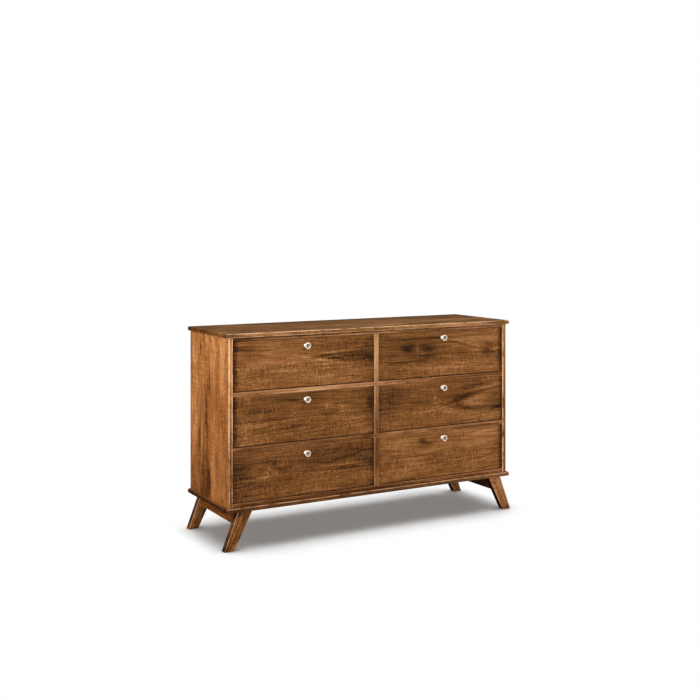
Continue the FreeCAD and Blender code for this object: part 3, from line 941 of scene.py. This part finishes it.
FRONT_MARKS = {
    "upper_left": (
        Mark(0.42, 0.066, 0.275, 0.028, -0.12, outline=-0.28, point=1.5, lean=-0.035),
        Mark(0.46, 0.06, 0.23, 0.014, -0.05, outline=-0.24, point=1.5), Mark(0.4, 0.12, 0.09, 0.02, -0.16),
        Mark(0.16, 0.14, 0.1, 0.03, -0.06), Mark(0.35, -0.13, 0.09, 0.02, -0.08),
        Mark(-0.42, 0.38, 0.08, 0.03, -0.08), Mark(-0.106, -0.009, 0.05, 0.0024, 0.55),
        Mark(0.02, 0.11, 0.05, 0.0025, 0.25), Mark(0.14, -0.06, 0.07, 0.003, 0.3),
        Mark(0.46, 0.22, 0.035, 0.06, -0.26), Mark(0.3, 0.3, 0.14, 0.04, -0.12),
        Mark(-0.44, 0.36, 0.06, 0.012, -0.3), Mark(-0.15, -0.1, 0.12, 0.05, 0.1),
        Mark(0.15, 0.38, 0.35, 0.03, -0.1), Mark(0.05, -0.12, 0.35, 0.03, 0.1),
        Mark(-0.2, 0.38, 0.1, 0.03, 0.14), Mark(-0.4, 0.12, 0.09, 0.03, -0.09),
        Mark(0.46, -0.12, 0.05, 0.03, -0.1), Mark(0.18, -0.38, 0.14, 0.03, 0.1),
        Mark(-0.2, 0.12, 0.08, 0.03, 0.12), Mark(0.18, 0.12, 0.11, 0.03, -0.1),
        Mark(-0.45, -0.12, 0.05, 0.03, 0.1),
    ),
    "upper_right": (
        Mark(-0.282, 0.148, 0.034, 0.02, -0.26, 0.014), Mark(-0.115, 0.12, 0.034, 0.024, -0.26, 0.012),
        Mark(-0.27, 0.15, 0.07, 0.04, -0.12, 0.008), Mark(-0.1, 0.13, 0.07, 0.05, -0.12),
        Mark(-0.1, 0.3, 0.1, 0.03, -0.16), Mark(-0.2, 0.12, 0.12, 0.04, -0.06),
        Mark(0.44, 0.38, 0.06, 0.03, 0.1), Mark(-0.195, 0.133, 0.01, 0.03, 0.2),
        Mark(-0.075, 0.355, 0.06, 0.005, -0.4), Mark(-0.2, -0.3, 0.3, 0.035, 0.12),
        Mark(0.38, -0.26, 0.12, 0.03, 0.1), Mark(-0.3, 0.35, 0.12, 0.008, -0.2),
        Mark(0.17, 0.18, 0.1, 0.006, -0.22, lean=-0.276), Mark(0.18, 0.225, 0.09, 0.005, 0.18, lean=-0.276),
        Mark(0.384, 0.02, 0.032, 0.03, -0.34, 0.01, ripple=0.4), Mark(0.4, 0.14, 0.06, 0.02, -0.16),
        Mark(-0.33, -0.13, 0.13, 0.004, -0.25), Mark(0.48, 0.1, 0.012, 0.1, -0.2),
        Mark(-0.4, 0.3, 0.16, 0.05, -0.16), Mark(-0.42, 0.12, 0.07, 0.03, -0.1),
        Mark(0.32, -0.3, 0.18, 0.05, 0.14), Mark(0.3, 0.2, 0.12, 0.05, 0.06),
        Mark(-0.12, 0.1, 0.26, 0.03, -0.08), Mark(-0.46, 0.38, 0.05, 0.03, -0.08),
        Mark(-0.15, -0.12, 0.1, 0.02, -0.06), Mark(0.04, -0.06, 0.07, 0.0028, 0.22),
        Mark(0.21, -0.2, 0.09, 0.0026, -0.2), Mark(-0.2, -0.22, 0.07, 0.003, 0.2),
        Mark(-0.38, 0.02, 0.05, 0.0026, -0.26), Mark(0.3, 0.33, 0.06, 0.003, 0.2),
        Mark(0.04, 0.24, 0.06, 0.0026, -0.2),
    ),
    "middle_left": (
        Mark(-0.413, -0.042, 0.032, 0.026, -0.04, 0.008, ripple=0.5),
        Mark(-0.33, 0.18, 0.045, 0.022, -0.06, ripple=0.4),
        Mark(-0.251, 0.155, 0.036, 0.024, -0.06, 0.006, ripple=0.5),
        Mark(-0.113, 0.118, 0.036, 0.026, -0.04, ripple=0.5),
        Mark(0.135, 0.177, 0.036, 0.02, 0.0, ripple=0.5), Mark(0.244, 0.127, 0.03, 0.022, 0.0, ripple=0.5),
        Mark(-0.113, -0.056, 0.06, 0.003, 0.34, lean=0.14), Mark(-0.09, 0.34, 0.03, 0.004, -0.3),
        Mark(0.475, 0.217, 0.035, 0.05, -0.2), Mark(0.46, 0.1, 0.03, 0.06, -0.1),
        Mark(0.43, 0.4, 0.06, 0.03, -0.1), Mark(-0.05, 0.14, 0.04, 0.02, -0.08),
        Mark(-0.44, -0.1, 0.05, 0.02, -0.1), Mark(0.42, -0.38, 0.08, 0.02, 0.1),
        Mark(-0.3, -0.38, 0.08, 0.02, 0.1), Mark(-0.2, 0.4, 0.2, 0.02, -0.1),
        Mark(-0.35, -0.02, 0.1, 0.008, -0.16), Mark(-0.44, -0.2, 0.04, 0.03, 0.14),
        Mark(0.06, 0.36, 0.07, 0.03, -0.16), Mark(0.38, 0.12, 0.1, 0.03, 0.1),
        Mark(-0.26, 0.12, 0.06, 0.02, 0.08),
    ),
    "middle_right": (
        Mark(0.6, 0.055, 0.33, 0.05, 0.04, outline=0.26, point=1.75, lean=0.05),
        Mark(0.4, 0.0, 0.07, 0.014, 0.12), Mark(0.12, 0.05, 0.05, 0.016, -0.1, lean=0.3),
        Mark(0.35, 0.27, 0.11, 0.006, 0.32, lean=0.1), Mark(0.32, 0.37, 0.13, 0.007, -0.26, lean=0.1),
        Mark(0.35, -0.14, 0.12, 0.006, -0.3, lean=-0.08), Mark(0.465, -0.165, 0.036, 0.015, -0.46),
        Mark(0.43, 0.12, 0.02, 0.03, -0.14), Mark(0.16, 0.13, 0.06, 0.03, -0.14, lean=0.2),
        Mark(-0.06, -0.12, 0.12, 0.004, 0.24, lean=0.14),
        Mark(-0.1, -0.02, 0.1, 0.02, 0.0, 0.008, ripple=0.22), Mark(-0.2, -0.32, 0.3, 0.03, 0.08),
        Mark(-0.1, 0.13, 0.3, 0.025, -0.16), Mark(0.38, -0.3, 0.12, 0.03, 0.12),
        Mark(-0.058, 0.135, 0.005, 0.009, 0.4), Mark(-0.06, 0.15, 0.022, 0.02, 0.08, 0.01),
        Mark(-0.415, 0.18, 0.09, 0.04, -0.2), Mark(-0.4, 0.38, 0.09, 0.03, -0.16),
        Mark(-0.42, -0.1, 0.05, 0.05, -0.16), Mark(0.06, -0.13, 0.06, 0.028, 0.28),
        Mark(0.3, -0.13, 0.16, 0.02, -0.07), Mark(0.48, 0.25, 0.03, 0.06, -0.12),
        Mark(-0.35, 0.13, 0.06, 0.03, 0.1), Mark(0.4, -0.42, 0.08, 0.02, 0.08),
    ),
    "lower_left": (
        Mark(-0.299, 0.004, 0.045, 0.028, 0.12, 0.012, ripple=0.4),
        Mark(-0.183, 0.206, 0.03, 0.018, 0.08, ripple=0.4),
        Mark(-0.238, 0.042, 0.03, 0.02, 0.0, 0.01, ripple=0.3), Mark(-0.453, 0.159, 0.05, 0.05, -0.26),
        Mark(0.3, 0.185, 0.11, 0.006, -0.24, lean=0.19), Mark(0.2, 0.34, 0.16, 0.026, -0.24),
        Mark(0.4, 0.1, 0.07, 0.05, -0.16), Mark(0.28, 0.03, 0.1, 0.004, 0.34),
        Mark(0.12, -0.08, 0.09, 0.004, 0.3), Mark(-0.2, -0.35, 0.25, 0.03, -0.1),
        Mark(0.3, -0.06, 0.12, 0.005, -0.2), Mark(0.0, 0.15, 0.34, 0.026, -0.12),
        Mark(-0.31, -0.06, 0.03, 0.006, 0.2, ripple=0.4, lean=0.1),
        Mark(-0.21, 0.0, 0.016, 0.01, 0.1, ripple=0.5), Mark(-0.27, 0.14, 0.018, 0.012, 0.0, ripple=0.5),
        Mark(-0.36, 0.12, 0.02, 0.008, 0.06, ripple=0.4), Mark(-0.12, -0.36, 0.16, 0.03, 0.2),
        Mark(0.35, -0.16, 0.12, 0.025, 0.18), Mark(-0.47, -0.4, 0.04, 0.04, -0.14),
        Mark(-0.44, 0.4, 0.05, 0.03, -0.1), Mark(-0.25, 0.12, 0.05, 0.03, -0.08),
        Mark(0.25, 0.12, 0.05, 0.03, -0.08), Mark(-0.43, -0.25, 0.07, 0.06, -0.09),
        Mark(-0.2, 0.38, 0.1, 0.025, 0.09),
    ),
    "lower_right": (
        Mark(-0.163, 0.33, 0.024, 0.014, -0.3), Mark(-0.1, 0.27, 0.03, 0.01, -0.22),
        Mark(0.1, 0.1, 0.28, 0.07, 0.12), Mark(-0.14, 0.29, 0.03, 0.02, -0.16),
        Mark(0.3, 0.2, 0.03, 0.014, 0.12, ripple=0.3), Mark(0.36, 0.12, 0.05, 0.03, 0.14),
        Mark(-0.42, -0.1, 0.05, 0.08, -0.06), Mark(0.34, 0.36, 0.12, 0.035, 0.24),
        Mark(-0.415, 0.34, 0.12, 0.025, 0.14), Mark(-0.02, -0.1, 0.2, 0.05, -0.16),
        Mark(-0.28, 0.0, 0.08, 0.05, 0.07),
    ),
}


@dataclass
class Case:
    """The case: top and base boards, side panels, partition, rails and back."""

    wardrobe: Wardrobe
    top_stave: float = 0.12
    left_stave: float = 0.115
    left_stave_shift: float = 0.01475
    right_stave: float = 0.16
    top_arris: Point = (0.0, 2.6 * MM, 2.6 * MM)
    base_arris: Point = (0.0, 3.0 * MM, 3.0 * MM)
    panel_arris: Point = (5.5 * MM, 1.5 * MM, 0.0)
    stile_arris: Point = (2.2 * MM, 2.2 * MM, 0.0)
    rail_seed: int = 31
    rail_arris: Point = (0.0, 2.2 * MM, 2.2 * MM)
    left_edge_tone: float = 0.14
    right_edge_tone: float = -0.02
    # Painted highlight on the top's front and back edge faces
    top_edge_highlight: float = 0.3
    top_back: Band = Band(Side.HEAD, -0.6, 60 * MM)
    # Painted shade in the gap below the top and the bottom rail: a dark line along their lower edges
    rail_foot_shade: Band = Band(Side.FOOT, -0.4, 4 * MM)
    # Painted shadow of the top's overhang along the top rail's upper edge
    rail_head_shadow: Band = Band(Side.HEAD, -0.5, 6 * MM)

    def dress(self) -> None:
        """Dresses every board of the case."""
        for board in (*self.panels(), *self.rails()):
            self.wardrobe.board(board)

    def panels(self) -> list[Board]:
        """Says how the wide boards and the partition were cut.

        Returns:
            The boards.
        """
        return [
            Board("top_panel", Axis.X, Axis.Y, TOP_STAIN, seed=3.0, stave=self.top_stave,
                  arris=self.top_arris, flank_tones=(self.top_edge_highlight,) * 2, bands=(self.top_back,),
                  marks=TOP_MARKS),
            Board("base_panel", Axis.X, Axis.Y, BASE_STAIN, seed=5.0, stave=self.top_stave,
                  arris=self.base_arris, worn_way=1, marks=BASE_MARKS),
            Board("left_side_panel", Axis.Z, Axis.Y, CASE_STAIN, seed=11.0, stave=self.left_stave,
                  stave_shift=self.left_stave_shift, arris=self.panel_arris,
                  flank_tones=(self.left_edge_tone,) * 2, marks=LEFT_PANEL_MARKS + LEFT_EDGE_MARKS),
            Board("right_side_panel", Axis.Z, Axis.Y, CASE_STAIN, seed=17.0, stave=self.right_stave,
                  arris=self.panel_arris, worn_way=-1, flank_tones=(self.right_edge_tone,) * 2,
                  marks=RIGHT_EDGE_MARKS),
            Board("centre_partition", Axis.Z, Axis.X, STILE_STAIN, seed=23.0, arris=self.stile_arris,
                  marks=STILE_MARKS),
            Board("back_panel", Axis.Z, Axis.X, BACK_WOOD, seed=41.0),
        ]

    def rails(self) -> list[Board]:
        """Says how the rails were cut.

        Returns:
            The rails' boards.
        """
        bands = {"top_rail": (self.rail_foot_shade, self.rail_head_shadow), "bottom_rail": (self.rail_foot_shade,)}
        return [Board(name, Axis.X, Axis.Z, RAIL_STAIN, seed, arris=self.rail_arris, marks=marks,
                      bands=bands.get(name, ()))
                for seed, (name, marks) in enumerate(RAIL_MARKS.items(), start=self.rail_seed)]


@dataclass
class Legs:
    """The four legs, which taper and lean out, and the two rails between them."""

    wardrobe: Wardrobe
    head_width: float = 71 * MM
    foot_width: float = 48 * MM
    leg_arris: Point = (2.4 * MM, 2.4 * MM, 0.0)
    # Painted shade on the legs' flanks, as under the base, darkest on the inner ones
    outer_flank_shade: float = -0.3
    inner_flank_shade: float = -0.8
    rail_seed: float = 51.0
    front_seed: float = 55.0
    back_seed: float = 57.0
    # Painted shade on the two leg rails under the base, more on the right one
    rail_shades: tuple[float, float] = (-0.26, -0.4)
    front_tones: tuple[float, float] = (-0.02, 0.32)
    back_tones: tuple[float, float] = (-0.12, 0.12)

    def leg(self, node: str, seed: float, tone: float) -> Board:
        """Says how one leg was cut.

        Args:
            node: The leg's node.
            seed: The seed of its figure.
            tone: How much paler it is than its stain.

        Returns:
            The leg's board.
        """
        low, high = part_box(node)
        way = 1 if low.x + high.x < 0 else -1
        outer = way * (high.x - low.x - self.head_width)
        inner = way * (high.x - low.x - self.foot_width)
        return Board(node, Axis.Z, Axis.X, LEG_STAIN, seed, arris=self.leg_arris,
                     taper=(outer, inner)[::way], flank_tones=(self.outer_flank_shade, self.inner_flank_shade)[::way],
                     tone=tone, marks=LEG_MARKS + OWN_LEG_MARKS.get(node, ()))

    def dress(self) -> None:
        """Dresses the legs and their rails."""
        for place, side in enumerate(SIDES):
            self.wardrobe.board(Board(side + "_leg_rail", Axis.Y, Axis.Z, LEG_RAIL_STAIN,
                                      self.rail_seed + place, tone=self.rail_shades[place]))
            self.wardrobe.board(self.leg("front_" + side + "_leg", self.front_seed + place,
                                         self.front_tones[place]))
            self.wardrobe.board(self.leg("back_" + side + "_leg", self.back_seed + place,
                                         self.back_tones[place]))


class KnobFinish(Enum):
    """The finishes of a knob, by their places among its materials."""

    BODY = 0
    DISH = 1
    SCREW = 2


@dataclass
class Knob:
    """A bright metal knob with its machine screw, turned from radii and heights above the drawer front.

    The screw lies behind the front, at heights below zero, with its head against the inside of the box end.
    """

    screw_length: float = 31 * MM
    screw_radius: float = 2 * MM
    screw_head_radius: float = 4.2 * MM
    screw_head_height: float = 2.4 * MM
    screw_head_round: float = 1.1 * MM
    seat_radius: float = 11 * MM
    seat_height: float = 2.2 * MM
    neck_radius: float = 5.5 * MM
    neck_height: float = 7.5 * MM
    head_radius: float = 15.5 * MM
    head_back: float = 17.5 * MM
    projection: float = 23.5 * MM
    rim: float = 2.8 * MM
    dish_depth: float = 2.4 * MM
    dish_radius: float = 10.7 * MM
    round_steps: int = 6
    steps: int = 64
    merge_reach: float = 0.005 * MM
    crisp_angle: float = 45.0

    def quarter(self, first: int = 0) -> list[tuple[float, float]]:
        """The sine and the cosine at each step of a quarter turn, from a first step on."""
        turns = [math.pi / 2 * step / self.round_steps for step in range(first, self.round_steps + 1)]
        return [(math.sin(turn), math.cos(turn)) for turn in turns]

    def profile(self) -> list[tuple[float, float]]:
        """Works out the profile of the knob and its screw.

        Returns:
            Its (radius, height) points, from the middle of the screw's head to the middle of the dish.
        """
        end = -self.screw_length - self.screw_head_height
        flare = self.head_radius - self.neck_radius
        rise = self.head_back - self.neck_height
        points = [(0.0, end)]
        points += [(self.screw_head_radius - self.screw_head_round * (1 - sine),
                    end + self.screw_head_round * (1 - cosine)) for sine, cosine in self.quarter()]
        points += [(self.screw_head_radius, -self.screw_length), (self.screw_radius, -self.screw_length),
                   (self.screw_radius, 0.0), (self.seat_radius, 0.0), (self.seat_radius, self.seat_height)]
        points += [(self.neck_radius + flare * (1 - cosine), self.neck_height + rise * sine)
                   for sine, cosine in self.quarter()]
        points += [(self.head_radius - self.rim * (1 - cosine), self.projection - self.rim * (1 - sine))
                   for sine, cosine in self.quarter(first=1)]
        for step in range(self.round_steps + 1):
            share = 1 - step / self.round_steps
            height = self.projection - self.dish_depth * (1 - share * share)
            points.append((self.dish_radius * share, height))
        return points

    def build(self, name: str, axis_at: Vector) -> bpy.types.Object:
        """Turns a knob about an axis along -Y.

        Args:
            name: The piece's name.
            axis_at: Where the axis meets the drawer front.

        Returns:
            The knob.
        """
        mesh = bmesh.new()
        points = [Vector((radius, -height, 0)) for radius, height in self.profile()]
        verts = [mesh.verts.new(axis_at + point) for point in points]
        edges = [mesh.edges.new(pair) for pair in zip(verts, verts[1:])]
        bmesh.ops.spin(mesh, geom=verts + edges, cent=axis_at, axis=(0, 1, 0), angle=2 * math.pi,
                       steps=self.steps, use_merge=True, use_duplicate=False)
        bmesh.ops.remove_doubles(mesh, verts=mesh.verts, dist=self.merge_reach)
        bmesh.ops.recalc_face_normals(mesh, faces=mesh.faces)
        for face in mesh.faces:
            face.smooth = True
            face.material_index = self.finish(face.calc_center_median() - axis_at).value
        piece = add_mesh(name, mesh)
        piece.data.set_sharp_from_angle(angle=math.radians(self.crisp_angle))
        return piece

    def finish(self, place: Vector) -> KnobFinish:
        """Tells the finish of one face.

        Args:
            place: The face's middle, from where the axis meets the drawer front.

        Returns:
            The finish.
        """
        if place.y > 0:
            return KnobFinish.SCREW
        in_dish = place.xz.length < self.dish_radius and -place.y > self.head_back
        return KnobFinish.DISH if in_dish else KnobFinish.BODY


@dataclass(frozen=True)
class Plate:
    """A plated metal, with the fine marks of its buffing or brushing.

    The pitch is how many marks there are to a metre along each axis, the scatter is how much they change
    the roughness, and the depth is how deep they go.
    """

    name: str
    dull: Colour
    bright: Colour
    roughness: float
    metallic: float = 1.0
    pitch: Point = (900.0, 900.0, 900.0)
    seed: float = 1.0
    detail: float = 2.0
    scatter: float = 0.1
    depth: float = 0.05 * MM
    bump: float = 0.05

    def build(self) -> bpy.types.Material:
        """Builds the plate's material.

        Returns:
            The material.
        """
        material, graph = new_material(self.name)
        marks = graph.noise(graph.coordinates("Object"), self.pitch, self.seed, self.detail)
        inputs = {"Base Color": stain(*self.bright), "Metallic": self.metallic,
                  "Roughness": graph.scaled(marks, self.scatter, self.roughness)}
        if self.dull != self.bright:
            share = graph.plus(marks, 0.5)
            inputs["Base Color"] = graph.mix(share, stain(*self.dull), stain(*self.bright))
        if self.depth:
            pits = {"Strength": self.bump, "Distance": self.depth, "Height": marks}
            inputs["Normal"] = graph.add("ShaderNodeBump", pits).outputs["Normal"]
        graph.surface(graph.add("ShaderNodeBsdfPrincipled", inputs))
        return material


POLISHED_NICKEL = Plate("polished nickel", (244, 226, 204), (244, 226, 204), 0.3)
# The dish's nickel is rougher, as a satin finish, and darker, as painted shade in the hollow
SHADED_SATIN_NICKEL = Plate("satin nickel with painted shade", (122, 113, 100), (122, 113, 100), 0.42)
ZINC = Plate("zinc plate", (158, 160, 162), (204, 206, 208), 0.42, metallic=0.55, pitch=(700.0, 6.0, 700.0),
             seed=2.0, detail=3.0, scatter=0.2, depth=0.0)


@dataclass
class Drawers:
    """The six drawers: fronts, boxes, knobs and slides."""

    wardrobe: Wardrobe
    knob: Knob = field(default_factory=Knob)
    knob_drop: float = 33 * MM
    first_seed: int = 61
    seed_steps: tuple[int, int] = (10, 3)
    arris: Point = (0.0, 1.8 * MM, 1.8 * MM)
    # How far in the painted shadows at the fronts' ends reach, and how they sway
    end_shadow_reach: float = 32 * MM
    end_shadow_sway: float = 0.02
    # Painted shade in the gap at the high end of each front, dark beside the right side panel
    gap_shade_reach: float = 8 * MM
    gap_shades: tuple[float, float] = (0.0, -0.7)
    # Painted shade in the gap below each front: a dark line along its lower edge
    foot_shade_reach: float = 4.5 * MM
    foot_shade: float = -0.8

    def front(self, side: str, row: str) -> Board:
        """Says how the front of one drawer was cut.

        Args:
            side: The drawer's side, left or right.
            row: The drawer's row, lower, middle or upper.

        Returns:
            The front's board.
        """
        name = f"{row}_{side}"
        row_step, side_step = self.seed_steps
        seed = self.first_seed + row_step * ROWS.index(row) + side_step * SIDES.index(side)
        low_shadow, high_shadow = FRONT_END_SHADOWS[name]
        bands = (
            # Painted shadow at both ends of the front
            Band(Side.LOW_END, low_shadow, self.end_shadow_reach, self.end_shadow_sway),
            Band(Side.HIGH_END, high_shadow, self.end_shadow_reach, self.end_shadow_sway),
            # Painted shade in the gap at the high end
            Band(Side.HIGH_END, self.gap_shades[SIDES.index(side)], self.gap_shade_reach),
            # Painted shade in the gap below the front
            Band(Side.FOOT, self.foot_shade, self.foot_shade_reach),
        )
        return Board(name + "_drawer_front", Axis.X, Axis.Z, FRONT_STAIN, seed, arris=self.arris,
                     tone=FRONT_TONES[name], bands=bands, marks=FRONT_MARKS[name])

    def box(self, stem: str, seed: float) -> list[Board]:
        """Says how the boards of one drawer's box were cut.

        Args:
            stem: What the names of the drawer's nodes start with.
            seed: The seed of the drawer's front, from which the boards' own seeds count on.

        Returns:
            The sides, the ends and the bottom.
        """
        axes = {"_sides": (Axis.Y, Axis.Z), "_ends": (Axis.X, Axis.Z), "_bottom": (Axis.X, Axis.Y)}
        return [Board(stem + piece, *pair, BOX_WOOD, seed + place)
                for place, (piece, pair) in enumerate(axes.items(), start=1)]

    def dress(self) -> None:
        """Dresses the boards and the slides, and puts a turned knob on each drawer."""
        plates = [plate.build() for plate in (POLISHED_NICKEL, SHADED_SATIN_NICKEL, ZINC)]
        plated = plates[KnobFinish.SCREW.value]
        nodes = self.wardrobe.nodes
        dress(nodes["cabinet_slides"], plated)
        for side in SIDES:
            for row in ROWS:
                stem = f"{row}_{side}_drawer"
                front = self.front(side, row)
                for board in (front, *self.box(stem, front.seed)):
                    self.wardrobe.board(board)
                dress(nodes[stem + "_slides"], plated)
                dress(nodes[stem + "_middle_slides"], plated)
                low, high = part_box(front.node)
                axis_at = Vector(((low.x + high.x) / 2, low.y, high.z - self.knob_drop))
                piece = self.knob.build(stem + "_turned_knob", axis_at)
                for material in plates:
                    piece.data.materials.append(material)
                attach(piece, stem)
                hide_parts(stem + "_knob")
                log.info("turned %s", piece.name)


@dataclass(frozen=True)
class Lamp:
    """A square soft light: where it hangs, the length of its side, and its power in watts."""

    name: str
    at: Point
    size: float
    power: float


@dataclass
class Studio:
    """A pale floor, a white surround, soft lights and the camera.

    The floor's shadow is full where less than the first of the shadow shares of the view above it is open,
    and gone where more than the second is. It fades out to the left and right of the shadow half. Bright
    metal sees the floor and the surround at full strength ahead of the dresser and above it, and only as
    bright as the dim room elsewhere.
    """

    frame_pixels: float = 700.0
    focal_pixels: float = 1091.2
    horizon_row: float = 230.6
    sensor: float = 36.0
    camera_at: Point = (-2.7112, -4.7462, 1.4389)
    camera_turn: float = -29.52
    floor_half: float = 40.0
    floor_bounce: float = 0.5
    shadow_reach: float = 0.34
    shadow_samples: int = 16
    shadow_shares: tuple[float, float] = (0.42, 0.9)
    shadow_tone: Colour = (132, 127, 124)
    shadow_half: float = 0.74
    shadow_fade: float = 0.14
    floor_ahead: tuple[float, float] = (0.0, -0.6)
    sky: float = 0.36
    sky_ahead: tuple[float, float] = (0.4, 0.0)
    sky_above: tuple[float, float] = (0.55, 0.85)
    dim_room: float = 0.14
    lamps: tuple[Lamp, ...] = (
        Lamp("left key", (-5.0, -1.6, 2.2), 3.0, 215.0),
        Lamp("front fill", (0.6, -6.0, 2.6), 3.5, 120.0),
    )
    lamp_aim: Point = (0.0, 0.0, 0.5)
    sun_strength: float = 0.6
    sun_spread: float = 40.0

    def camera(self) -> None:
        """Sets up the level camera, with a shift for the horizon's row."""
        data = bpy.data.cameras.new("camera")
        data.sensor_width = self.sensor
        data.lens = self.sensor * self.focal_pixels / self.frame_pixels
        data.shift_y = (self.horizon_row - self.frame_pixels / 2) / self.frame_pixels
        camera = add_object("camera", data)
        camera.location = self.camera_at
        camera.rotation_euler = (math.pi / 2, 0, math.radians(self.camera_turn))
        bpy.context.scene.camera = camera

    def floor(self) -> None:
        """Lays the floor, which shows white where no shadow falls."""
        mesh = bmesh.new()
        bmesh.ops.create_grid(mesh, x_segments=1, y_segments=1, size=self.floor_half)
        floor = add_mesh("floor", mesh)
        material, graph = new_material("pale floor")
        rays = graph.add("ShaderNodeLightPath").outputs
        place = graph.split(graph.coordinates("Object"))
        open_share = graph.add("ShaderNodeAmbientOcclusion", {"Distance": self.shadow_reach},
                               samples=self.shadow_samples).outputs["AO"]
        shadow_end = self.shadow_half + self.shadow_fade
        beyond = graph.step(graph.sum("ABSOLUTE", place[0]), self.shadow_half, shadow_end)
        lit = graph.sum("MAXIMUM", graph.step(open_share, *self.shadow_shares), beyond)
        seen = graph.mix(lit, stain(*self.shadow_tone), WHITE)
        white = graph.add("ShaderNodeEmission", {"Color": seen})
        strength = self.lightened(graph, graph.step(place[1], *self.floor_ahead))
        mirrored = graph.add("ShaderNodeEmission", {"Color": seen, "Strength": strength})
        matt = graph.add("ShaderNodeBsdfDiffuse", {"Color": (self.floor_bounce,) * 3 + (1.0,)})
        bright = graph.add("ShaderNodeMixShader", {0: rays["Is Glossy Ray"], 1: matt.outputs[0],
                                                   2: mirrored.outputs[0]})
        direct = graph.sum("MAXIMUM", rays["Is Camera Ray"], rays["Is Transmission Ray"])
        shown = graph.add("ShaderNodeMixShader", {0: direct, 1: bright.outputs[0], 2: white.outputs[0]})
        graph.surface(shown)
        dress(floor, material)

    def lightened(self, graph: Graph, share: Value) -> Socket:
        """How bright metal sees the room: dim where the share is 0, white where it is 1."""
        return graph.scaled(share, 1.0 - self.dim_room, self.dim_room)

    def surround(self) -> None:
        """A soft sky for the light, which the camera and bright metal see as white."""
        world = bpy.data.worlds.new("surround")
        bpy.context.scene.world = world
        world.use_nodes = True
        graph = Graph(world.node_tree)
        rays = graph.add("ShaderNodeLightPath").outputs
        way = graph.split(graph.coordinates("Generated"))
        ahead = graph.step(way[1], *self.sky_ahead)
        above = graph.step(way[2], *self.sky_above)
        bright = self.lightened(graph, graph.sum("MAXIMUM", ahead, above))
        seen = graph.sum("MAXIMUM", rays["Is Camera Ray"], rays["Is Transmission Ray"])
        strength = graph.mix(rays["Is Glossy Ray"], (self.sky,) * 3 + (1.0,), bright)
        strength = graph.mix(seen, strength, WHITE)
        sky = graph.add("ShaderNodeBackground", {"Color": WHITE, "Strength": strength})
        graph.add("ShaderNodeOutputWorld", {"Surface": sky.outputs[0]})

    def lights(self) -> None:
        """Hangs the square soft lights, and a soft sun that shines straight down."""
        for lamp in self.lamps:
            data = bpy.data.lights.new(lamp.name, "AREA")
            data.size = lamp.size
            data.energy = lamp.power
            hung = add_object(lamp.name, data)
            hung.location = lamp.at
            toward = Vector(self.lamp_aim) - Vector(lamp.at)
            hung.rotation_euler = toward.to_track_quat("-Z", "Y").to_euler()
        sun = bpy.data.lights.new("overhead", "SUN")
        sun.energy = self.sun_strength
        sun.angle = math.radians(self.sun_spread)
        add_object("overhead", sun)

    def build(self) -> None:
        """Builds the whole studio."""
        self.camera()
        self.floor()
        self.surround()
        self.lights()
        bpy.context.scene.view_settings.view_transform = "Standard"


def main() -> None:
    """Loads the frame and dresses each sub-assembly in order."""
    logging.basicConfig(level=logging.INFO, format="%(message)s")
    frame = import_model()
    Studio().build()
    wardrobe = Wardrobe(frame["nodes"])
    Case(wardrobe).dress()
    Legs(wardrobe).dress()
    Drawers(wardrobe).dress()


if __name__ == "__main__":
    main()
